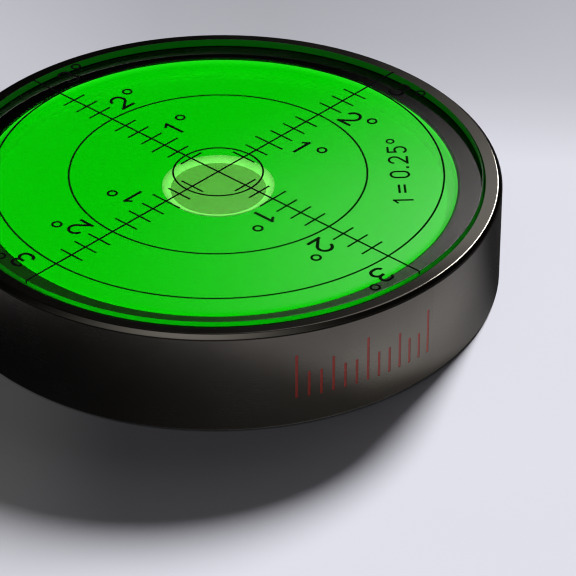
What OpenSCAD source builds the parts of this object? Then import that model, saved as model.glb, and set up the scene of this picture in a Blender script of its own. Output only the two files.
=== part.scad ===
// Bullseye level: a turned metal case with a clear lens, green liquid and an air bubble.
// Millimetres. +Z is up, and the origin is the centre of the base.

/* [Case] */
// Outside diameter of the case
case_d = 60; // [58:0.5:70]
// Height from the base to the top of the lens
total_h = 12; // [12:0.1:16]
// Chamfer round the top of the rim
rim_chamfer = 0.45; // [0.3:0.05:0.7]
// Chamfer round the base
base_chamfer = 0.3; // [0.1:0.05:0.6]
// Rounding on the edges of the rim chamfer
edge_round = 0.2; // [0.08:0.02:0.24]
// Thickness of the case under the chamber
floor_t = 5.6; // [5.4:0.1:5.8]
// Diameter of the chamber that holds the liquid
chamber_d = 50.6; // [46:0.2:51]

/* [Lens] */
// Diameter of the lens
lens_d = 56; // [54:0.5:56.5]
// Thickness of the lens at its edge
lens_t = 2.25; // [1.8:0.05:2.6]
// Height of the lens above the rim
lens_proud = 0.36; // [0.2:0.02:0.6]
// Radial gap between the lens and its seat
lens_gap = 0.1; // [0.05:0.01:0.15]
// Rounding on the edges of the lens
lens_round = 0.12; // [0.06:0.02:0.16]
// Thickness of the adhesive under the lens
bond_t = 0.15; // [0.1:0.01:0.25]

/* [Bubble] */
// Diameter of the bubble
bubble_d = 11.9; // [8:0.1:13]
// Height of the bubble
bubble_h = 0.95; // [0.7:0.05:2]
// Reading at rest, in degrees off centre
bubble_off = 0.17; // [0:0.01:0.2]
// Direction of that reading, in degrees from +X
bubble_dir = -46; // [-180:1:180]

/* [Dial] */
// Bubble travel for one degree of tilt
deg_mm = 7.87; // [7.5:0.01:8.2]
// Radius of the inner ring, in degrees
ring_1 = 0.604; // [0.5:0.001:0.7]
// Radius of the middle ring, in degrees
ring_2 = 2; // [1.8:0.01:2.2]
// Radius of the outer ring, in degrees
ring_3 = 3.029; // [2.9:0.001:3.1]
// Width of the printed lines
line_w = 0.2; // [0.12:0.005:0.3]
// Stroke of the numerals
stroke_w = 0.33; // [0.2:0.01:0.36]
// Thickness of the printed ink
ink_t = 0.03; // [0.02:0.005:0.06]
// Length of a short tick, in degrees
tick_len = 0.395; // [0.3:0.005:0.45]
// Length of a long tick, in degrees
long_tick_len = 0.5; // [0.45:0.005:0.6]

/* [Index marks] */
// Number of marks on the wall
mark_n = 13; // [7:6:13]
// Angle between two marks
mark_step = 2.5; // [2:0.1:3]
// Direction of the middle mark, in degrees from +X
mark_dir = -16.5; // [-60:0.5:30]
// Width of a mark
mark_w = 0.3; // [0.2:0.05:0.4]
// Depth of a mark
mark_depth = 0.15; // [0.1:0.01:0.2]

/* [Filling screw] */
// Distance of the filling hole from the chamber's wall
fill_in = 1.7; // [1.5:0.1:8]
// Direction of the filling hole, in degrees from +X
fill_dir = -46; // [-180:1:180]

/* [Hidden] */

case_r = case_d / 2;
chamber_r = chamber_d / 2;
lens_r = lens_d / 2;
seat_r = lens_r + lens_gap;
rim_z = total_h - lens_proud;
lens_z = total_h - lens_t;             // underside of the lens at its edge
ledge_z = lens_z - bond_t;             // metal ledge that carries the lens
dome_r = deg_mm / tan(1);              // radius of the lens's curved underside
dome_zc = lens_z + sqrt(dome_r * dome_r - chamber_r * chamber_r) * -1;
apex_z = dome_zc + dome_r;
liner_t = 0.4;                         // floor of the white liner
liner_wall = 0.2;                      // wall of the white liner
lip_t = 0.3;                           // lip round the mouth of the chamber
undercut = 0.3;                        // depth of the chamber's wall behind the lip
liner_r = chamber_r + undercut - 0.03;
liner_in = liner_r - liner_wall;
liner_fillet = 1.2;                    // rounding inside the liner
floor_z = floor_t;
fill_r = chamber_r - fill_in;
liquid_r = chamber_r - 0.1;
liquid_gap = liner_in - liquid_r;
liquid_z = floor_z + liner_t + liquid_gap;
film = 0.06;                           // film of liquid over the bubble's path
bubble_top = dome_r - 0.25;            // distance of the bubble's top from the dome's centre
bubble_band = 0.05;                    // upright band round the bubble's top edge
head_recess = 1.9;                     // recess for the filling screw's head
hole_r = 1.5;
passage_r = 0.6;
mark_low = 3.4;

// ---- helpers -------------------------------------------------------------

// points of an arc about [cx, cy]
function arc_pts(cx, cy, r, a0, a1, n) =
    [for (i = [0:n]) let (a = a0 + (a1 - a0) * i / n) [cx + r * cos(a), cy + r * sin(a)]];

// height of the dome, less a gap, at radius x
function dome_z(x, gap) = dome_zc + sqrt((dome_r - gap) * (dome_r - gap) - x * x);

// points of the dome from radius x0 to x1
function dome_pts(x0, x1, gap, n) =
    [for (i = [0:n]) let (x = x0 + (x1 - x0) * i / n) [x, dome_z(x, gap)]];

// part of a ring of strokes, from angle a0 to a1
module arc_stroke(r, w, a0, a1) {
    n = 10;
    intersection() {
        difference() {
            circle(r = r + w / 2, $fn = 48);
            circle(r = r - w / 2, $fn = 48);
        }
        polygon(concat([[0, 0]],
            [for (i = [0:n]) let (a = a0 + (a1 - a0) * i / n)
                [(r + w) * 1.2 * cos(a), (r + w) * 1.2 * sin(a)]]));
    }
}

// straight stroke between two points, with square ends
module bar_stroke(p, q, w) {
    d = [q[0] - p[0], q[1] - p[1]];
    translate(p) rotate([0, 0, atan2(d[1], d[0])])
        translate([0, -w / 2]) square([norm(d), w]);
}

// ---- numerals, each with its lower left corner at the origin ---------------

module numeral_0(h, w, s) {
    r = w / 2;
    difference() {
        union() {
            translate([r, r]) circle(r = r, $fn = 48);
            translate([r, h - r]) circle(r = r, $fn = 48);
            translate([0, r]) square([w, h - w]);
        }
        translate([r, r]) circle(r = r - s, $fn = 48);
        translate([r, h - r]) circle(r = r - s, $fn = 48);
        translate([s, r]) square([w - 2 * s, h - w]);
    }
}

module numeral_1(h, w, s) {
    translate([w - s, 0]) square([s, h]);
    bar_stroke([w - s * 0.6, h - s * 0.6], [0, h - w * 0.78], s * 0.86);
}

module numeral_2(h, w, s) {
    r = (w - s) / 2;
    cx = w / 2;
    cy = h - w / 2;
    translate([cx, cy]) arc_stroke(r, s, -42, 172);
    bar_stroke([cx + r * cos(42) + s * 0.12, cy - r * sin(42) + s * 0.1], [s * 0.5, s * 0.35], s);
    square([w, s]);
}

module numeral_3(h, w, s) {
    ym = 0.53 * h;                      // middle stroke
    ra = (h - s / 2 - ym) / 2;          // upper bowl
    rb = (ym - s / 2) / 2;              // lower bowl
    ax = 0.95 * w - ra - s / 2;
    bx = w - rb - s / 2;
    da = 0.9 * w - 2 * ra - s;          // straight part of each bowl
    db = w - 2 * rb - s;
    translate([ax, ym + ra]) arc_stroke(ra, s, -90, 90);
    translate([ax - da, ym + ra]) arc_stroke(ra, s, 90, 168);
    translate([ax - da, h - s]) square([da, s]);
    translate([bx, s / 2 + rb]) arc_stroke(rb, s, -90, 90);
    translate([bx - db, s / 2 + rb]) arc_stroke(rb, s, -168, -90);
    translate([bx - db, 0]) square([db, s]);
    translate([0.36 * w, ym - s / 2]) square([bx - 0.36 * w, s]);
}

module numeral_5(h, w, s) {
    r = h * 0.335 - s / 2;
    cx = w - r - s / 2;
    translate([cx, r + s / 2]) arc_stroke(r, s, -150, 128);
    translate([w * 0.12, h - s]) square([w * 0.8, s]);
    bar_stroke([w * 0.12 + s * 0.5, h], [cx + r * cos(132), r + s / 2 + r * sin(132) - s * 0.3], s);
}

module degree_mark(r, s) {
    difference() {
        circle(r = r, $fn = 32);
        circle(r = r - s, $fn = 32);
    }
}

// puts a flat print on the top of the lens
module on_lens() {
    translate([0, 0, total_h]) linear_extrude(height = ink_t) children();
}

// repeats a print on the four scale lines, outward being +Y
module on_scales() {
    for (a = [0:90:270]) rotate([0, 0, a - 90]) children();
}

// a ring of ink
module ring_ink(r) {
    translate([0, 0, total_h]) rotate_extrude($fn = 180)
        translate([r - line_w / 2, 0]) square([line_w, ink_t]);
}

// where the filling hole is
module at_fill() {
    rotate([0, 0, fill_dir]) translate([fill_r, 0, 0]) children();
}

// a row of upright slots through the wall, w wide
module mark_slots(w, r0, r1) {
    mid = (mark_n - 1) / 2;
    for (i = [0:mark_n - 1]) {
        h = abs(i - mid) % 6 == 0 ? 5.2 : abs(i - mid) % 3 == 0 ? 4.2 : 3;
        rotate([0, 0, mark_dir + (i - mid) * mark_step])
            translate([r0, -w / 2, mark_low]) cube([r1 - r0, w, h]);
    }
}

// ---- the pieces ------------------------------------------------------------

module housing() {
    e = edge_round;
    t = e * tan(22.5);
    color([0.16, 0.15, 0.14])
    difference() {
        rotate_extrude($fn = 180) polygon(concat(
            [[0, 0], [case_r - base_chamfer, 0], [case_r, base_chamfer]],
            arc_pts(case_r - e, rim_z - rim_chamfer - t, e, 0, 45, 6),
            arc_pts(case_r - rim_chamfer - t, rim_z - e, e, 45, 90, 6),
            [[seat_r + 0.12, rim_z], [seat_r, rim_z - 0.12],
             [seat_r, ledge_z], [chamber_r + 0.15, ledge_z],
             [chamber_r, ledge_z - 0.15], [chamber_r, ledge_z - lip_t],
             [chamber_r + undercut, ledge_z - lip_t], [chamber_r + undercut, floor_z], [0, floor_z]]));
        at_fill() {
            translate([0, 0, -1]) cylinder(r = 3.2, h = head_recess + 1, $fn = 48);
            translate([0, 0, 0]) cylinder(r = hole_r, h = 3.6, $fn = 48);
            cylinder(r = passage_r, h = floor_z + 1, $fn = 32);
        }
        mark_slots(mark_w, case_r - mark_depth, case_r + 1);
    }
}

module lens() {
    e = lens_round;
    color([0.8, 0.95, 0.85, 0.4])
    rotate_extrude($fn = 180) polygon(concat(
        dome_pts(0, chamber_r, 0, 24),
        arc_pts(lens_r - e, lens_z + e, e, -90, 0, 4),
        arc_pts(lens_r - e, total_h - e, e, 0, 90, 4),
        [[0, total_h]]));
}

module lens_bond() {
    color([0.05, 0.2, 0.05])
    rotate_extrude($fn = 180)
        translate([chamber_r + 0.25, ledge_z]) square([lens_r - 0.2 - chamber_r - 0.25, bond_t]);
}

module chamber_liner() {
    color([0.85, 0.9, 0.8])
    difference() {
        rotate_extrude($fn = 180) polygon(concat(
            [[0, floor_z], [liner_r, floor_z],
             [liner_r, ledge_z - lip_t - 0.02], [liner_in, ledge_z - lip_t - 0.02]],
            arc_pts(liner_in - liner_fillet, floor_z + liner_t + liner_fillet, liner_fillet, 0, -90, 6),
            [[0, floor_z + liner_t]]));
        at_fill() translate([0, 0, floor_z - 1]) cylinder(r = passage_r, h = 3, $fn = 32);
    }
}

// half section of the bubble, flat on top and rounded below, grown by g all round
module bubble_section(g) {
    e = bubble_h - bubble_band;
    translate([0, -bubble_h - g]) square([bubble_d / 2 - e, bubble_h + 2 * g]);
    translate([0, -bubble_band]) square([bubble_d / 2 + g, bubble_band + g]);
    intersection() {
        translate([bubble_d / 2 - e, -bubble_band]) circle(r = e + g, $fn = 64);
        translate([0, -bubble_h - 2]) square([bubble_d, bubble_h + 2 - bubble_band]);
    }
}

// the bubble at its place under the dome
module bubble_shape(g) {
    translate([0, 0, dome_zc]) rotate([0, bubble_off, bubble_dir])
        translate([0, 0, bubble_top]) rotate_extrude($fn = 96) bubble_section(g);
}

module liquid() {
    color([0.05, 0.75, 0.05, 0.7])
    difference() {
        rotate_extrude($fn = 180) polygon(concat(
            [[0, liquid_z]],
            arc_pts(liner_in - liner_fillet, floor_z + liner_t + liner_fillet, liner_fillet - liquid_gap, -90, 0, 6),
            dome_pts(liquid_r, 0, film, 24)));
        bubble_shape(0.05);
    }
}

module bubble() {
    color([0.5, 0.85, 0.4, 0.6])
    bubble_shape(0);
}

module fill_screw() {
    color([0.7, 0.7, 0.68])
    at_fill() difference() {
        union() {
            translate([0, 0, 0.4]) cylinder(r = 2.75, h = head_recess - 0.8, $fn = 48);
            translate([0, 0, 0.5]) cylinder(r = hole_r - 0.03, h = 2.9, $fn = 48);
        }
        translate([-4, -0.35, -1]) cube([8, 0.7, 1.9]);
    }
}

module fill_seal() {
    color([0.12, 0.12, 0.12])
    at_fill() translate([0, 0, head_recess - 0.4]) difference() {
        cylinder(r = 2.65, h = 0.4, $fn = 48);
        translate([0, 0, -1]) cylinder(r = hole_r + 0.05, h = 3, $fn = 48);
    }
}

module inner_ring_print() { color([0.03, 0.03, 0.03]) ring_ink(ring_1 * deg_mm); }

module middle_ring_print() { color([0.03, 0.03, 0.03]) ring_ink(ring_2 * deg_mm); }

module outer_ring_print() { color([0.03, 0.03, 0.03]) ring_ink(ring_3 * deg_mm); }

module cross_line_print() {
    reach = lens_r + ink_t;
    color([0.03, 0.03, 0.03]) {
        translate([-reach, -line_w / 2, total_h]) cube([2 * reach, line_w, ink_t]);
        translate([-line_w / 2, -reach, total_h]) cube([line_w, 2 * reach, ink_t]);
        intersection() {
            difference() {
                translate([0, 0, rim_z]) cylinder(r = reach, h = lens_proud + ink_t, $fn = 180);
                cylinder(r = lens_r, h = total_h + 1, $fn = 180);
            }
            union() {
                translate([-40, -line_w / 2, 0]) cube([80, line_w, 40]);
                translate([-line_w / 2, -40, 0]) cube([line_w, 80, 40]);
            }
        }
    }
}

module tick_print() {
    color([0.03, 0.03, 0.03])
    on_lens() on_scales()
        for (d = [0.5:0.25:2.75]) if (d != ring_2) {
            len = (d == 1 ? long_tick_len : tick_len) * deg_mm;
            translate([-len / 2, d * deg_mm - line_w / 2]) square([len, line_w]);
        }
}

module degree_1_print() {
    color([0.03, 0.03, 0.03])
    on_lens() on_scales() {
        translate([0.325 * deg_mm, 1.05 * deg_mm])
            numeral_1(0.335 * deg_mm, 0.105 * deg_mm, stroke_w);
        translate([0.66 * deg_mm, 1.345 * deg_mm]) degree_mark(0.075 * deg_mm, stroke_w * 0.72);
    }
}

module degree_2_print() {
    color([0.03, 0.03, 0.03])
    on_lens() on_scales() {
        translate([0.275 * deg_mm, 2.0625 * deg_mm])
            numeral_2(0.3375 * deg_mm, 0.2375 * deg_mm, stroke_w);
        translate([0.66 * deg_mm, 2.37 * deg_mm]) degree_mark(0.075 * deg_mm, stroke_w * 0.72);
    }
}

module degree_3_print() {
    color([0.03, 0.03, 0.03])
    on_lens() on_scales() {
        translate([0.2675 * deg_mm, 3.0875 * deg_mm])
            numeral_3(0.335 * deg_mm, 0.235 * deg_mm, stroke_w);
        translate([0.66 * deg_mm, 3.385 * deg_mm]) degree_mark(0.075 * deg_mm, stroke_w * 0.72);
    }
}

// plain figures that give the value of one division: 1 = 0.25 degrees
module legend_print() {
    h = 2.17;
    s = 0.24;
    color([0.03, 0.03, 0.03])
    on_lens() rotate([0, 0, 135]) translate([0, -2.566 * deg_mm]) {
        translate([-7.0, 0]) numeral_1(h, 0.72, s);
        translate([-5.0, 0.62]) square([1.6, s]);
        translate([-5.0, 1.22]) square([1.6, s]);
        translate([-2.1, 0]) numeral_0(h, 1.42, s);
        translate([-0.15, 0]) square([0.32, 0.32]);
        translate([0.75, 0]) numeral_2(h, 1.48, s);
        translate([2.8, 0]) numeral_5(h, 1.45, s);
        translate([5.3, h - 0.5]) degree_mark(0.48, 0.2);
    }
}

module index_paint() {
    color([0.62, 0.1, 0.05])
    mark_slots(mark_w, case_r - mark_depth, case_r - 0.02);
}

housing();
lens();
lens_bond();
chamber_liner();
liquid();
bubble();
fill_screw();
fill_seal();
inner_ring_print();
middle_ring_print();
outer_ring_print();
cross_line_print();
tick_print();
degree_1_print();
degree_2_print();
degree_3_print();
legend_print();
index_paint();
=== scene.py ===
import math

import bmesh
import bpy
from mathutils import Matrix, Vector


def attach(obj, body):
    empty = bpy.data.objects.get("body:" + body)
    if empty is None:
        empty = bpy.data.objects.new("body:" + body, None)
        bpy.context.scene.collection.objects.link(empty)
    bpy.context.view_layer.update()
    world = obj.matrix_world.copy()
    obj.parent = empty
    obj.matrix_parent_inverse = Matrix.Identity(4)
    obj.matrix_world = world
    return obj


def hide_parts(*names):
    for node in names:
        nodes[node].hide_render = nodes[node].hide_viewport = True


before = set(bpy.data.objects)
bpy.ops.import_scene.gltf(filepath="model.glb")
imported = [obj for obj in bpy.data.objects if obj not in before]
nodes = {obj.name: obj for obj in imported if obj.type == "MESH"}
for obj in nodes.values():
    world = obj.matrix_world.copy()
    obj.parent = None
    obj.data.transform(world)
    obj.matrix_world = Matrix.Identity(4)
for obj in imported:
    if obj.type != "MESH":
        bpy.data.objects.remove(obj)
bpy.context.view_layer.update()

MM = 0.001

# sizes of the level, in millimetres
CASE_R = 30.0
RIM_Z = 11.64
CHAMBER_R = 25.3
LENS_R = 28.0
LENS_Z = 9.75
TOP_Z = 12.0
DOME_R = 7.87 / math.tan(math.radians(1))
DOME_ZC = LENS_Z - math.sqrt(DOME_R ** 2 - CHAMBER_R ** 2)
LIQUID_R = 25.2
LIQUID_Z = 6.17
BUBBLE_R = 5.95
BUBBLE_H = 0.95
BUBBLE_BAND = 0.05
BUBBLE_TOP = DOME_R - 0.25
BUBBLE_OFF = 0.17
BUBBLE_DIR = -46.0


def dome_z(r, gap=0.0):
    return DOME_ZC + math.sqrt((DOME_R - gap) ** 2 - r * r)


# ---- meshes ---------------------------------------------------------------

def lathe(name, rows, seg, mats, place=Matrix.Identity(4)):
    """A closed solid of revolution. rows are (radius, height, material of the band that
    follows, sharp) from the lower pole to the upper one, in millimetres."""
    verts, faces, index, sharp = [], [], [], set()
    rings = []
    for k, (r, z, _, _) in enumerate(rows):
        if r < 1e-9:
            rings.append([len(verts)])
            verts.append(place @ Vector((0, 0, z * MM)))
        else:
            ring = []
            for i in range(seg):
                a = 2 * math.pi * i / seg
                ring.append(len(verts))
                verts.append(place @ Vector((r * math.cos(a) * MM, r * math.sin(a) * MM, z * MM)))
            rings.append(ring)
    for k in range(len(rows) - 1):
        lo, hi = rings[k], rings[k + 1]
        for i in range(seg):
            j = (i + 1) % seg
            if len(lo) == 1:
                faces.append((lo[0], hi[j], hi[i]))
            elif len(hi) == 1:
                faces.append((lo[i], lo[j], hi[0]))
            else:
                faces.append((lo[i], lo[j], hi[j], hi[i]))
            index.append(rows[k][2])
        if rows[k][3] and len(lo) > 1:
            for i in range(seg):
                sharp.add(tuple(sorted((lo[i], lo[(i + 1) % seg]))))
    me = bpy.data.meshes.new(name)
    me.from_pydata(verts, [], faces)
    for m in mats:
        me.materials.append(m)
    for p, k in zip(me.polygons, index):
        p.use_smooth = True
        p.material_index = k
    if sharp:
        at = me.attributes.new("sharp_edge", "BOOLEAN", "EDGE")
        at.data.foreach_set("value", [tuple(sorted(e.vertices)) in sharp for e in me.edges])
    me.validate()
    me.update()
    o = bpy.data.objects.new(name, me)
    bpy.context.scene.collection.objects.link(o)
    return o


def arc(cr, cz, r, a0, a1, n):
    return [(cr + r * math.cos(math.radians(a0 + (a1 - a0) * i / n)),
             cz + r * math.sin(math.radians(a0 + (a1 - a0) * i / n))) for i in range(n + 1)]


# ---- materials ------------------------------------------------------------

def material(name):
    m = bpy.data.materials.new(name)
    m.use_nodes = True
    nt = m.node_tree
    bsdf = nt.nodes["Principled BSDF"]
    return m, nt, bsdf


def node(nt, kind, **kw):
    n = nt.nodes.new(kind)
    for k, v in kw.items():
        if k.startswith("in_"):
            n.inputs[int(k[3:])].default_value = v
        else:
            setattr(n, k, v)
    return n


def maths(nt, op, a, b=None, c=None, clamp=False):
    n = nt.nodes.new("ShaderNodeMath")
    n.operation = op
    n.use_clamp = clamp
    for i, v in enumerate((a, b, c)):
        if v is None:
            continue
        if isinstance(v, (int, float)):
            n.inputs[i].default_value = v
        else:
            nt.links.new(v, n.inputs[i])
    return n.outputs[0]


def ramp(nt, fac, stops, interpolation="LINEAR"):
    n = nt.nodes.new("ShaderNodeValToRGB")
    n.color_ramp.interpolation = interpolation
    el = n.color_ramp.elements
    while len(el) < len(stops):
        el.new(0.5)
    for e, (p, c) in zip(el, stops):
        e.position = p
        e.color = (*c, 1) if len(c) == 3 else c
    nt.links.new(fac, n.inputs[0])
    return n.outputs[0]


def noise(nt, vec, scale, detail=2.0, rough=0.5, dims="3D"):
    n = nt.nodes.new("ShaderNodeTexNoise")
    n.noise_dimensions = dims
    n.inputs["Scale"].default_value = scale
    n.inputs["Detail"].default_value = detail
    n.inputs["Roughness"].default_value = rough
    if vec is not None:
        nt.links.new(vec, n.inputs["Vector"])
    return n.outputs["Fac"]


def coords(nt):
    """Object coordinates, with the radius and the height in metres."""
    tc = nt.nodes.new("ShaderNodeTexCoord")
    sep = nt.nodes.new("ShaderNodeSeparateXYZ")
    nt.links.new(tc.outputs["Object"], sep.inputs[0])
    r = maths(nt, "SQRT", maths(nt, "ADD", maths(nt, "MULTIPLY", sep.outputs[0], sep.outputs[0]),
                                maths(nt, "MULTIPLY", sep.outputs[1], sep.outputs[1])))
    return tc.outputs["Object"], r, sep.outputs[2]


def combine(nt, x, y, z):
    n = nt.nodes.new("ShaderNodeCombineXYZ")
    for i, v in enumerate((x, y, z)):
        if isinstance(v, (int, float)):
            n.inputs[i].default_value = v
        else:
            nt.links.new(v, n.inputs[i])
    return n.outputs[0]


def bump(nt, bsdf, height, strength, distance, base=None):
    b = nt.nodes.new("ShaderNodeBump")
    if base is not None:
        nt.links.new(base, b.inputs["Normal"])
    b.inputs["Strength"].default_value = strength
    b.inputs["Distance"].default_value = distance
    nt.links.new(height, b.inputs["Height"])
    nt.links.new(b.outputs[0], bsdf.inputs["Normal"])


def lets_lamps_through(m, tint):
    """Shadow rays pass straight through the clear pieces."""
    nt = m.node_tree
    out = nt.nodes["Material Output"]
    bsdf = nt.nodes["Principled BSDF"]
    lp = nt.nodes.new("ShaderNodeLightPath")
    tr = nt.nodes.new("ShaderNodeBsdfTransparent")
    tr.inputs[0].default_value = (*tint, 1)
    mix = nt.nodes.new("ShaderNodeMixShader")
    nt.links.new(lp.outputs["Is Shadow Ray"], mix.inputs[0])
    nt.links.new(bsdf.outputs[0], mix.inputs[1])
    nt.links.new(tr.outputs[0], mix.inputs[2])
    nt.links.new(mix.outputs[0], out.inputs["Surface"])


def between(nt, value, lo, hi):
    """0 below lo, 1 above hi, smooth in between (hi below lo turns it round)."""
    n = node(nt, "ShaderNodeMapRange", interpolation_type="SMOOTHSTEP")
    n.inputs["From Min"].default_value = lo
    n.inputs["From Max"].default_value = hi
    nt.links.new(value, n.inputs["Value"])
    return n.outputs[0]


def blend_colour(nt, fac, a, b):
    n = node(nt, "ShaderNodeMix", data_type="RGBA")
    for k, v in ((0, fac), (6, a), (7, b)):
        if isinstance(v, tuple):
            n.inputs[k].default_value = (*v, 1)
        else:
            nt.links.new(v, n.inputs[k])
    return n.outputs[2]


def lean(nt, obj, r, lo, hi, slope):
    """The normal of a flat ring that falls slightly towards its centre on one side."""
    side = node(nt, "ShaderNodeVectorMath", operation="DOT_PRODUCT")
    nt.links.new(obj, side.inputs[0])
    side.inputs[1].default_value = (0.6762, -0.7367, 0)
    run = maths(nt, "SUBTRACT", maths(nt, "MINIMUM", maths(nt, "MAXIMUM", r, lo), hi), lo)
    b = node(nt, "ShaderNodeBump")
    b.inputs["Strength"].default_value = 1.0
    b.inputs["Distance"].default_value = 1.0
    run = maths(nt, "MULTIPLY", maths(nt, "MULTIPLY", run, slope), between(nt, side.outputs["Value"], 0.01, 0.022))
    nt.links.new(run, b.inputs["Height"])
    return b.outputs[0]


def case_metal():
    """Dark turned metal: fine turning marks round the axis, a slight change of tone, worn edges."""
    m, nt, p = material("turned_gunmetal")
    obj, r, z = coords(nt)
    lines = noise(nt, combine(nt, r, 0.0, z), 9000.0, 2.0, 0.6)
    cloud = noise(nt, obj, 160.0, 3.0, 0.5)
    fleck = noise(nt, obj, 2600.0, 3.0, 0.6)
    tone = maths(nt, "ADD", maths(nt, "MULTIPLY", lines, 0.35), maths(nt, "MULTIPLY", cloud, 0.65))
    col = ramp(nt, tone, [(0.25, (0.112, 0.103, 0.088)), (0.75, (0.138, 0.127, 0.109))])
    # wear along the edges of the base
    wear = None
    for er, ez in ((0.03, 0.0003), (0.0297, 0.0)):
        dr, dz = maths(nt, "SUBTRACT", r, er), maths(nt, "SUBTRACT", z, ez)
        d = maths(nt, "SQRT", maths(nt, "ADD", maths(nt, "MULTIPLY", dr, dr), maths(nt, "MULTIPLY", dz, dz)))
        w = between(nt, d, 0.00016, 0.00003)
        wear = w if wear is None else maths(nt, "MAXIMUM", wear, w)
    wear = maths(nt, "MULTIPLY", wear, between(nt, fleck, 0.42, 0.62))
    wear = maths(nt, "MULTIPLY", wear, 0.4)
    col = blend_colour(nt, wear, col, (0.3, 0.285, 0.26))
    # the seat under the lens is darkened nearly to black, with a painted green tint that stands in for green light from
    # the liquid
    seat_dark_painted_green = maths(nt, "MULTIPLY", between(nt, r, 0.02828, 0.02822), between(nt, z, 0.006, 0.007))
    col = blend_colour(nt, seat_dark_painted_green, col, (0.006, 0.08, 0.006))
    # the faced rim is a little darker than the wall
    faced = maths(nt, "MULTIPLY", between(nt, z, 0.01158, 0.01163), 0.38)
    col = blend_colour(nt, faced, col, (0.02, 0.018, 0.015))
    # a fine painted shade line where the chamfer meets the wall
    line = maths(nt, "MULTIPLY", between(nt, z, 0.01107, 0.0111), between(nt, z, 0.01124, 0.01121))
    line = maths(nt, "MULTIPLY", line, maths(nt, "ADD", maths(nt, "MULTIPLY", cloud, 0.3), 0.7))
    nt.links.new(blend_colour(nt, line, col, (0.008, 0.007, 0.006)), p.inputs["Base Color"])
    p.inputs["Metallic"].default_value = 1.0
    # the wall is a little duller than the faced rim
    wall = between(nt, r, 0.0298, 0.02995)
    ro = maths(nt, "ADD", maths(nt, "MULTIPLY", wall, 0.17), maths(nt, "MULTIPLY", tone, 0.06))
    nt.links.new(maths(nt, "ADD", ro, 0.07), p.inputs["Roughness"])
    bump(nt, p, lines, 0.03, 0.00001, lean(nt, obj, r, 0.0281, 0.0294, 0.031))
    return m


def clear(name, ior, tint=(1, 1, 1), shadow=(0.93, 0.95, 0.93), rough=0.0, glow=0.0):
    """Clear; glow is a painted green glow, an emission standing in for the light that the lens carries from the liquid
    to its edge.
    """
    m, nt, p = material(name)
    if glow:
        f = noise(nt, coords(nt)[0], 800.0, 3.0, 0.5)
        nt.links.new(ramp(nt, f, [(0.3, (0.015, 0.9, 0.02)), (0.7, (0.03, 1.0, 0.035))]), p.inputs["Emission Color"])
        p.inputs["Emission Strength"].default_value = glow
    p.inputs["Base Color"].default_value = (*tint, 1)
    p.inputs["Transmission Weight"].default_value = 1.0
    p.inputs["Roughness"].default_value = rough
    p.inputs["IOR"].default_value = ior
    lets_lamps_through(m, shadow)
    return m


def coated(name, ior, centre, lo, hi, shadow=(0.93, 0.95, 0.93)):
    """Clear, with an anti-glare coating that sets in between two radii: it bends light and mirrors none."""
    m, nt, p = material(name)
    p.inputs["Base Color"].default_value = (1, 1, 1, 1)
    p.inputs["Transmission Weight"].default_value = 1.0
    p.inputs["Roughness"].default_value = 0.0
    p.inputs["IOR"].default_value = ior
    bend = node(nt, "ShaderNodeBsdfRefraction")
    bend.inputs["Roughness"].default_value = 0.0
    bend.inputs["IOR"].default_value = ior
    off = node(nt, "ShaderNodeVectorMath", operation="MULTIPLY_ADD")
    nt.links.new(coords(nt)[0], off.inputs[0])
    off.inputs[1].default_value = (1, 1, 0)
    off.inputs[2].default_value = (-centre[0] * MM, -centre[1] * MM, 0)
    far = node(nt, "ShaderNodeVectorMath", operation="LENGTH")
    nt.links.new(off.outputs[0], far.inputs[0])
    coat = node(nt, "ShaderNodeMixShader")
    nt.links.new(between(nt, far.outputs["Value"], lo * MM, hi * MM), coat.inputs[0])
    nt.links.new(p.outputs[0], coat.inputs[1])
    nt.links.new(bend.outputs[0], coat.inputs[2])
    lp = node(nt, "ShaderNodeLightPath")
    tr = node(nt, "ShaderNodeBsdfTransparent")
    tr.inputs[0].default_value = (*shadow, 1)
    mix = node(nt, "ShaderNodeMixShader")
    nt.links.new(lp.outputs["Is Shadow Ray"], mix.inputs[0])
    nt.links.new(coat.outputs[0], mix.inputs[1])
    nt.links.new(tr.outputs[0], mix.inputs[2])
    nt.links.new(mix.outputs[0], nt.nodes["Material Output"].inputs["Surface"])
    return m


def spirit():
    m = clear("green_spirit", 1.0, (1, 1, 1), (1, 1, 1))
    nt = m.node_tree
    v = nt.nodes.new("ShaderNodeVolumeAbsorption")
    v.inputs["Color"].default_value = (0.07, 0.986, 0.0, 1)
    v.inputs["Density"].default_value = 1400.0
    nt.links.new(v.outputs[0], nt.nodes["Material Output"].inputs["Volume"])
    return m


def plain(name, lo, hi, scale, rough, metallic=0.0, bump_d=0.0, shine=0.5, tilt=0.0):
    """A solid finish with a fine mottle in its colour and its gloss."""
    m, nt, p = material(name)
    obj, r, z = coords(nt)
    f = noise(nt, obj, scale, 4.0, 0.55)
    nt.links.new(ramp(nt, f, [(0.3, lo), (0.7, hi)]), p.inputs["Base Color"])
    nt.links.new(ramp(nt, f, [(0.3, (rough[0],) * 3), (0.7, (rough[1],) * 3)]), p.inputs["Roughness"])
    p.inputs["Metallic"].default_value = metallic
    p.inputs["Specular IOR Level"].default_value = shine
    if bump_d:
        bump(nt, p, f, 0.4, bump_d)
    if tilt:
        nt.links.new(lean(nt, obj, r, 0.025, 0.0281, tilt), p.inputs["Normal"])
    return m


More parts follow.
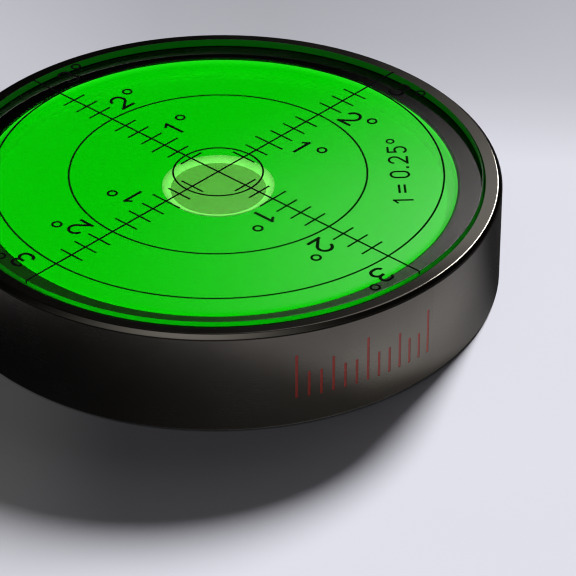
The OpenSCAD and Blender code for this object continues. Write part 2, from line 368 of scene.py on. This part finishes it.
def liner_paint():
    """White floor, with a wall that takes the liquid's green. The tone is painted light and shade:
    it darkens the rounded corner to even out the light there, and paints the wall brightest near the top."""
    m, nt, p = material("white_liner")
    obj, r, z = coords(nt)
    f = noise(nt, obj, 700.0, 4.0, 0.55)
    up = maths(nt, "DIVIDE", maths(nt, "SUBTRACT", z, 0.006), 0.0033)
    # painted light and shade: the tone over height darkens the rounded corner and brightens the upper wall
    tone = ramp(nt, up, [(k, (v, v, v)) for k, v in (
        (0.0, 0.9), (0.006, 0.76), (0.022, 0.67), (0.085, 0.59), (0.18, 0.585), (0.24, 0.61), (0.3, 0.66),
        (0.364, 0.71), (0.45, 0.7), (0.65, 0.79), (0.85, 0.91), (1.0, 0.91))])
    hue = blend_colour(nt, between(nt, z, 0.0061, 0.0066), ramp(nt, f, [(0.3, (0.975, 0.98, 0.975)), (0.7, (1, 1, 1))]),
                       ramp(nt, f, [(0.3, (0.03, 0.98, 0.024)), (0.7, (0.033, 1, 0.027))]))
    both = node(nt, "ShaderNodeMix", data_type="RGBA", blend_type="MULTIPLY")
    both.inputs[0].default_value = 1.0
    nt.links.new(tone, both.inputs[6])
    nt.links.new(hue, both.inputs[7])
    nt.links.new(both.outputs[2], p.inputs["Base Color"])
    nt.links.new(ramp(nt, f, [(0.3, (0.6,) * 3), (0.7, (0.7,) * 3)]), p.inputs["Roughness"])
    p.inputs["Specular IOR Level"].default_value = 0.1
    bump(nt, p, f, 0.4, 0.000003)
    return m


def bubble_skin(name, share, lo, hi):
    """Air in liquid: clear, with a share of haze in a mottled colour; the haze is painted light, standing in for the
    reflections seen in and round a bubble.
    """
    m, nt, p = material(name)
    p.inputs["Base Color"].default_value = (1, 1, 1, 1)
    p.inputs["Transmission Weight"].default_value = 1.0
    p.inputs["Roughness"].default_value = 0.0
    p.inputs["IOR"].default_value = 1.0
    obj, r, z = coords(nt)
    f = noise(nt, obj, 500.0, 3.0, 0.5)
    painted_haze = node(nt, "ShaderNodeBsdfDiffuse")
    nt.links.new(ramp(nt, f, [(0.3, lo), (0.7, hi)]), painted_haze.inputs[0])
    mix1 = node(nt, "ShaderNodeMixShader", in_0=share)
    nt.links.new(p.outputs[0], mix1.inputs[1])
    nt.links.new(painted_haze.outputs[0], mix1.inputs[2])
    lp = node(nt, "ShaderNodeLightPath")
    tr = node(nt, "ShaderNodeBsdfTransparent")
    mix2 = node(nt, "ShaderNodeMixShader")
    nt.links.new(lp.outputs["Is Shadow Ray"], mix2.inputs[0])
    nt.links.new(mix1.outputs[0], mix2.inputs[1])
    nt.links.new(tr.outputs[0], mix2.inputs[2])
    nt.links.new(mix2.outputs[0], nt.nodes["Material Output"].inputs["Surface"])
    return m


M_CASE = case_metal()
M_LENS = clear("lens_clear", 1.49)
M_BORDER = coated("lens_border", 1.49, (0.744, -0.81), 24.6, 25.8)
# painted light: the edge's green tint and its emission stand in for the liquid's green light carried through the lens
M_EDGE = clear("lens_ground_edge_painted_glow", 1.1, (0.05, 0.36, 0.05), rough=0.4, glow=0.054)
M_WET = clear("lens_wetted", 1.49 / 1.37, shadow=(1, 1, 1))
M_BEDDED = clear("lens_bedded", 1.02, shadow=(1, 1, 1))
M_SPIRIT = spirit()
# painted light: the haze paints an olive veil on the bubble's floor and a bright pale-green ring at its edge, standing
# in for reflections
M_AIR = bubble_skin("bubble_top", 0.02, (0.4, 0.5, 0.3), (0.5, 0.6, 0.4))
M_POOL = bubble_skin("bubble_floor", 0.6, (0.17, 0.305, 0.076), (0.193, 0.333, 0.087))
M_RING = bubble_skin("bubble_edge", 0.85, (0.3, 0.88, 0.185), (0.355, 0.94, 0.225))
# painted light: the adhesive's green stands in for green light from the liquid falling on the ledge
M_BOND = plain("dark_adhesive_painted_green", (0.005, 0.045, 0.003), (0.007, 0.055, 0.005), 900.0, (0.015, 0.03), 0.0, 0.0, 0.84, 0.008)
M_BOND.node_tree.nodes["Principled BSDF"].inputs["Specular Tint"].default_value = (1, 0.955, 0.93, 1)
M_LINER = liner_paint()
M_INK = plain("black_ink", (0.002, 0.002, 0.002), (0.005, 0.005, 0.005), 2500.0, (0.5, 0.65), 0.0, 0.000004, 0.0)
M_RED = plain("red_paint", (0.33, 0.022, 0.01), (0.45, 0.04, 0.018), 1800.0, (0.4, 0.55), 0.0, 0.00001)
M_STEEL = plain("bright_steel", (0.5, 0.49, 0.47), (0.62, 0.61, 0.59), 900.0, (0.25, 0.38), 1.0, 0.000005)
M_RUBBER = plain("black_rubber", (0.018, 0.018, 0.018), (0.03, 0.03, 0.03), 1500.0, (0.6, 0.75), 0.0, 0.00001)


def dress(name, m):
    o = nodes[name]
    o.data.materials.clear()
    o.data.materials.append(m)


for n in ("inner_ring_print", "middle_ring_print", "outer_ring_print", "cross_line_print",
          "tick_print", "degree_1_print", "degree_2_print", "degree_3_print", "legend_print"):
    dress(n, M_INK)
for n in ("inner_ring_print", "middle_ring_print", "outer_ring_print", "cross_line_print",
          "tick_print", "degree_1_print", "degree_2_print", "degree_3_print", "legend_print"):
    nodes[n].visible_glossy = False
    nodes[n].visible_transmission = False
    nodes[n].visible_shadow = False
dress("housing", M_CASE)
dress("chamber_liner", M_LINER)
dress("lens_bond", M_BOND)
dress("index_paint", M_RED)
dress("fill_screw", M_STEEL)
dress("fill_seal", M_RUBBER)

# ---- the clear pieces -----------------------------------------------------

# lens: flat top, curved wetted underside, rounded edges
e = 0.12
lr, lz, lt = LENS_R - 0.004, LENS_Z + 0.01, TOP_Z - 0.004
rows = [(0, dome_z(0) + 0.01, 1, False)]
for k in range(1, 17):
    r = CHAMBER_R * k / 16
    rows.append((r, dome_z(r) + 0.01, 1, False))
rows += [(25.4, lz, 3, False), (26.5, lz, 3, False), (lr - e - 0.02, lz, 3, False)]
rows += [(r, z, 3, False) for r, z in arc(lr - e, lz + e, e, -90, 0, 6)]
rows += [(lr, lz + e + 0.02, 2, False), (lr, 0.5 * (lz + lt), 2, False), (lr, lt - e - 0.02, 2, False)]
rows += [(r, z, 2 if k < 4 else 0, False) for k, (r, z) in enumerate(arc(lr - e, lt - e, e, 0, 90, 6))]
# the border of the top, over the adhesive, is coated against glare
rows += [(lr - e - 0.02, lt, 4, False), (25.5, lt, 4, False)]
rows += [(r, lt, 0, False) for r in (23.3, 20.0, 15.0, 10.0, 5.0)]
rows += [(0, lt, 0, False)]
lens = lathe("lens_disc", rows, 256, [M_LENS, M_WET, M_EDGE, M_BEDDED, M_BORDER])
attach(lens, "case")
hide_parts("lens")

# liquid: fills the chamber up to the curved underside
rows = [(0, LIQUID_Z, 0, False)]
rows += [(r, LIQUID_Z, 0, False) for r in (8.0, 16.0, LIQUID_R - 1.2)]
rows += [(r, z, 0, False) for r, z in arc(LIQUID_R - 1.03, LIQUID_Z + 1.03, 1.03, -90, 0, 12)]
rows += [(LIQUID_R, 8.2, 0, False), (LIQUID_R, dome_z(LIQUID_R, 0.04) - 0.05, 0, False)]
for k in range(16, 0, -1):
    r = (LIQUID_R - 0.03) * k / 16
    rows.append((r, dome_z(r, 0.04), 0, False))
rows += [(0, dome_z(0, 0.04), 0, False)]
liquid = lathe("spirit_fill", rows, 192, [M_SPIRIT])
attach(liquid, "liquid")
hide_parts("liquid")

# bubble: a shallow round of air, flat on top and rounded below
e = BUBBLE_H - BUBBLE_BAND
place = (Matrix.Translation((0, 0, DOME_ZC * MM))
         @ Matrix.Rotation(math.radians(BUBBLE_DIR), 4, "Z")
         @ Matrix.Rotation(math.radians(BUBBLE_OFF), 4, "Y")
         @ Matrix.Translation((0, 0, BUBBLE_TOP * MM)))
g = 0.02
rows = [(0, -BUBBLE_H + g, 1, False)]
rows += [(r, -BUBBLE_H + g, 1, False) for r in (1.5, 3.0, 4.2)]
rows += [(r, z, 2, False) for r, z in arc(BUBBLE_R - e, -BUBBLE_BAND, e - g, -90, 0, 24)]
rows += [(BUBBLE_R - g, -g, 0, False)]
rows += [(r, -g, 0, False) for r in (BUBBLE_R - 0.1, 4.2, 3.0, 1.5)]
rows += [(0, -g, 0, False)]
bubble = lathe("air_bubble", rows, 192, [M_AIR, M_POOL, M_RING], place)
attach(bubble, "bubble")
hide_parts("bubble")

# the liquid keeps clear of the bubble wherever the bubble goes
hollow = liquid.modifiers.new("hollow", "BOOLEAN")
hollow.operation = "DIFFERENCE"
hollow.solver = "EXACT"
hollow.object = nodes["bubble"]

# ---- stage, light and camera ---------------------------------------------

TURN = Matrix.Rotation(math.radians(42.55), 4, "Z")


def plan(x, y, z):
    """x to the right of the picture, y away from it, z up."""
    return TURN @ Vector((x, y, z))


def floor_piece():
    bm = bmesh.new()
    seg = 96
    radii = (0.0, 0.02, 0.05, 0.1, 0.2, 0.4, 0.8, 1.6, 3.0)
    rings = []
    for r in radii:
        if r == 0:
            rings.append([bm.verts.new((0, 0, 0))])
        else:
            rings.append([bm.verts.new((r * math.cos(2 * math.pi * i / seg),
                                        r * math.sin(2 * math.pi * i / seg), 0)) for i in range(seg)])
    for a, b in zip(rings, rings[1:]):
        for i in range(seg):
            j = (i + 1) % seg
            if len(a) == 1:
                bm.faces.new((a[0], b[i], b[j]))
            else:
                bm.faces.new((a[i], b[i], b[j], a[j]))
    me = bpy.data.meshes.new("floor")
    bm.to_mesh(me)
    bm.free()
    o = bpy.data.objects.new("floor", me)
    bpy.context.scene.collection.objects.link(o)
    m, nt, p = material("pale_floor")
    p.inputs["Roughness"].default_value = 0.9
    p.inputs["Specular IOR Level"].default_value = 0.0
    tc = nt.nodes.new("ShaderNodeTexCoord")
    f = noise(nt, tc.outputs["Object"], 35.0, 3.0, 0.5)
    pale = ramp(nt, f, [(0.3, (0.888, 0.888, 0.976)), (0.7, (0.9, 0.9, 0.994))])

    def measure(v):
        d = node(nt, "ShaderNodeVectorMath", operation="DOT_PRODUCT")
        nt.links.new(tc.outputs["Object"], d.inputs[0])
        d.inputs[1].default_value = v
        return d.outputs["Value"]

    # painted shade: the floor's colour darkens gently towards the back
    away = measure(plan(0, 1, 0))
    painted_falloff = ramp(nt, maths(nt, "DIVIDE", away, 0.15),
                [(0.14, (1, 1, 1)), (0.2, (0.84, 0.84, 0.84)), (0.25, (0.74, 0.74, 0.74)), (0.4, (0.63, 0.63, 0.63)), (0.8, (0.6, 0.6, 0.6))])
    # painted shade: behind the case the floor is darker across the middle and lighter to the sides; in front it is
    # evenly a shade darker
    painted_middle_shade = ramp(nt, maths(nt, "ADD", maths(nt, "DIVIDE", measure(plan(1, 0, 0)), 0.1), 0.5),
                  [(k, (v, v, v)) for k, v in ((0.1, 1.0), (0.3, 0.84), (0.42, 0.735), (0.55, 0.71), (0.72, 0.765), (0.9, 0.83))])
    painted_middle_shade = blend_colour(nt, between(nt, away, 0.03, 0.05), (0.85, 0.85, 0.85), painted_middle_shade)
    shade = node(nt, "ShaderNodeMix", data_type="RGBA", blend_type="MULTIPLY")
    shade.inputs[0].default_value = 1.0
    nt.links.new(painted_falloff, shade.inputs[6])
    nt.links.new(painted_middle_shade, shade.inputs[7])
    painted_falloff = shade.outputs[2]
    shade = node(nt, "ShaderNodeMix", data_type="RGBA", blend_type="MULTIPLY")
    shade.inputs[0].default_value = 1.0
    nt.links.new(pale, shade.inputs[6])
    nt.links.new(painted_falloff, shade.inputs[7])
    # painted reflection: for glossy rays only, the floor on the right is painted dark, standing in for a dark flag that
    # the scene does not have, and elsewhere a slight painted glow lifts it
    n = Vector((-0.632, 0.776, 0))
    edge = n.dot(Vector((0.0265, -0.014, 0)))
    painted_dark_reflection = between(nt, measure(plan(*n)), edge - 0.012, edge + 0.006)
    painted_dark_reflection = maths(nt, "MULTIPLY", painted_dark_reflection, between(nt, measure(plan(1, 0, 0)), 0.012, 0.022))
    lp = node(nt, "ShaderNodeLightPath")
    seen = lp.outputs["Is Glossy Ray"]
    # painted reflection: glossy rays also see the floor painted dark beyond about 40 mm on the right and far out on the
    # left
    out = between(nt, coords(nt)[1], 0.038, 0.047)
    out = maths(nt, "MULTIPLY", maths(nt, "MULTIPLY", out, between(nt, measure(plan(1, 0, 0)), 0.006, 0.026)), 0.42)
    # on the left in front the floor is painted a little darker, and a faint emission paints light into its shadow
    left = maths(nt, "MULTIPLY", between(nt, measure(plan(1, 0, 0)), -0.008, -0.022), between(nt, away, 0.0, -0.02))
    out = maths(nt, "MAXIMUM", out, maths(nt, "MULTIPLY", between(nt, measure(plan(1, 0, 0)), -0.012, -0.03), 0.6))
    dark = maths(nt, "MULTIPLY", maths(nt, "MAXIMUM", maths(nt, "MULTIPLY", painted_dark_reflection, 0.96), out), seen)
    dark = maths(nt, "MAXIMUM", dark, maths(nt, "MULTIPLY", left, 0.16))
    nt.links.new(blend_colour(nt, dark, shade.outputs[2], (0.0, 0.0, 0.0)), p.inputs["Base Color"])
    # painted light: the floor's emission, in reflections and on the left in front
    p.inputs["Emission Color"].default_value = (1, 0.97, 0.93, 1)
    glossy_painted_lift = maths(nt, "ADD", maths(nt, "MULTIPLY", between(nt, measure(plan(1, 0, 0)), -0.015, 0.02), 0.1),
                 maths(nt, "MULTIPLY", maths(nt, "MULTIPLY", between(nt, measure(plan(1, 0, 0)), 0.014, 0.026), 0.4),
                       between(nt, coords(nt)[1], 0.042, 0.035)))
    glossy_painted_lift = maths(nt, "MULTIPLY", maths(nt, "MULTIPLY", maths(nt, "SUBTRACT", 1.0, painted_dark_reflection), seen), glossy_painted_lift)
    left = maths(nt, "MULTIPLY", maths(nt, "MULTIPLY", left, maths(nt, "SUBTRACT", 1.0, seen)), 0.032)
    nt.links.new(maths(nt, "ADD", glossy_painted_lift, left), p.inputs["Emission Strength"])
    me.materials.append(m)
    o.location.z = -0.00002
    return o


floor_piece()

world = bpy.data.worlds.new("studio")
bpy.context.scene.world = world
world.use_nodes = True
nt = world.node_tree
bg = nt.nodes["Background"]
tc = nt.nodes.new("ShaderNodeTexCoord")


def toward(az, el):
    """Direction in the plan frame, az to the right of straight away, el above the floor."""
    a, e = math.radians(az), math.radians(el)
    return plan(math.sin(a) * math.cos(e), math.cos(a) * math.cos(e), math.sin(e))


def along(v):
    d = nt.nodes.new("ShaderNodeVectorMath")
    d.operation = "DOT_PRODUCT"
    nt.links.new(tc.outputs["Generated"], d.inputs[0])
    d.inputs[1].default_value = v
    return d.outputs["Value"]


def soft_lobe(direction, width, peak):
    ang = maths(nt, "ARCCOSINE", along(direction))
    q = maths(nt, "POWER", maths(nt, "DIVIDE", ang, math.radians(width)), 2.0)
    return maths(nt, "MULTIPLY", maths(nt, "EXPONENT", maths(nt, "MULTIPLY", q, -0.5)), peak)


def soft_edge(value, lo, hi):
    n = nt.nodes.new("ShaderNodeMapRange")
    n.interpolation_type = "SMOOTHSTEP"
    n.inputs["From Min"].default_value = lo
    n.inputs["From Max"].default_value = hi
    nt.links.new(value, n.inputs["Value"])
    return n.outputs[0]


# a large soft box behind on the right, with a soft left edge
right = along(toward(90.0, 0.0))
up = along(Vector((0, 0, 1)))
low = maths(nt, "MAXIMUM", maths(nt, "SUBTRACT", 0.5548, up), 0.0)
edge = maths(nt, "ADD", maths(nt, "MULTIPLY", right, 8.7), 0.62)
edge = maths(nt, "SUBTRACT", edge, maths(nt, "MULTIPLY", maths(nt, "MULTIPLY", low, low), 284.0))
edge = maths(nt, "MINIMUM", maths(nt, "MAXIMUM", edge, 0.0), 1.05)
box = maths(nt, "POWER", edge, 2.4)
box = maths(nt, "MULTIPLY", box, soft_edge(right, 0.62, 0.45))
box = maths(nt, "MULTIPLY", box, soft_edge(up, 0.95, 0.8))
box = maths(nt, "MULTIPLY", box, soft_edge(along(toward(0.0, 0.0)), 0.0, 0.3))
light = maths(nt, "ADD", maths(nt, "MULTIPLY", box, 1.33), 0.01)
# a weaker fill in front on the left
light = maths(nt, "ADD", light, soft_lobe(toward(-165.0, 54.0), 17.0, 1.05))
path = nt.nodes.new("ShaderNodeLightPath")
dim = maths(nt, "SUBTRACT", 1.0, maths(nt, "MULTIPLY", path.outputs["Is Diffuse Ray"], 0.76))
nt.links.new(maths(nt, "MULTIPLY", light, dim), bg.inputs["Color"])
world.cycles.sampling_method = "MANUAL"
world.cycles.sample_map_resolution = 1024


def sun(name, direction, angle, strength):
    d = bpy.data.lights.new(name, "SUN")
    d.angle = math.radians(angle)
    d.energy = strength
    o = bpy.data.objects.new(name, d)
    o.rotation_mode = "QUATERNION"
    o.rotation_quaternion = direction.to_track_quat("Z", "Y")
    bpy.context.scene.collection.objects.link(o)
    return o


def group(name, objs, state=None):
    c = bpy.data.collections.new(name)
    for x in objs:
        c.objects.link(x)
    if state:
        for x in c.collection_objects:
            x.light_linking.link_state = state
    return c


liner = nodes["chamber_liner"]
bond = nodes["lens_bond"]
key = sun("key", toward(23.5, 28.5), 14.0, 6.05)
key.visible_glossy = False
key.visible_transmission = False
key.light_linking.receiver_collection = group("not_inside", [liner, bubble, bond], "EXCLUDE")
glow = sun("liner_light", toward(180.0, 40.0), 30.0, 2.55)
glow.light_linking.receiver_collection = group("only_liner", [liner])
glow.light_linking.blocker_collection = group("only_bubble", [bubble])
for name, az in (("wall_light_l", -105.0), ("wall_light_r", 105.0)):
    side = sun(name, toward(az, 12.0), 25.0, 1.7)
    side.light_linking.receiver_collection = group(name + "_on", [liner])
    side.light_linking.blocker_collection = group(name + "_by", [nodes["fill_screw"]])
skim = sun("ledge_light", toward(20.0, 6.0), 5.0, 22.0)
skim.visible_glossy = False
skim.visible_transmission = False
skim.light_linking.receiver_collection = group("only_ledge", [bond])
skim.light_linking.blocker_collection = group("only_rim", [nodes["housing"]])
top = sun("bubble_light", toward(180.0, 85.0), 150.0, 4.0)
top.light_linking.receiver_collection = group("lit_bubble", [bubble])
top.light_linking.blocker_collection = group("bubble_itself", [bubble])

spark = sun("edge_light", toward(25.0, 34.0), 24.0, 6.0)
spark.visible_diffuse = False
spark.visible_transmission = False
spark.light_linking.receiver_collection = group("only_case", [nodes["housing"]])

cam = bpy.data.cameras.new("camera")
cam.sensor_width = 36.0
cam.lens = 217.52
cam.clip_start = 0.01
cam.clip_end = 20.0
co = bpy.data.objects.new("camera", cam)
co.location = (0.21589, -0.22421, 0.20709)
co.rotation_euler = (math.radians(55.9992), 0, math.radians(42.5602))
bpy.context.scene.collection.objects.link(co)
bpy.context.scene.camera = co

sc = bpy.context.scene
sc.view_settings.view_transform = "Standard"
sc.cycles.filter_width = 1.2
sc.cycles.max_bounces = 24
sc.cycles.transmission_bounces = 20
sc.cycles.glossy_bounces = 8
sc.cycles.diffuse_bounces = 6
sc.cycles.transparent_max_bounces = 24
sc.cycles.caustics_refractive = False
sc.cycles.caustics_reflective = False
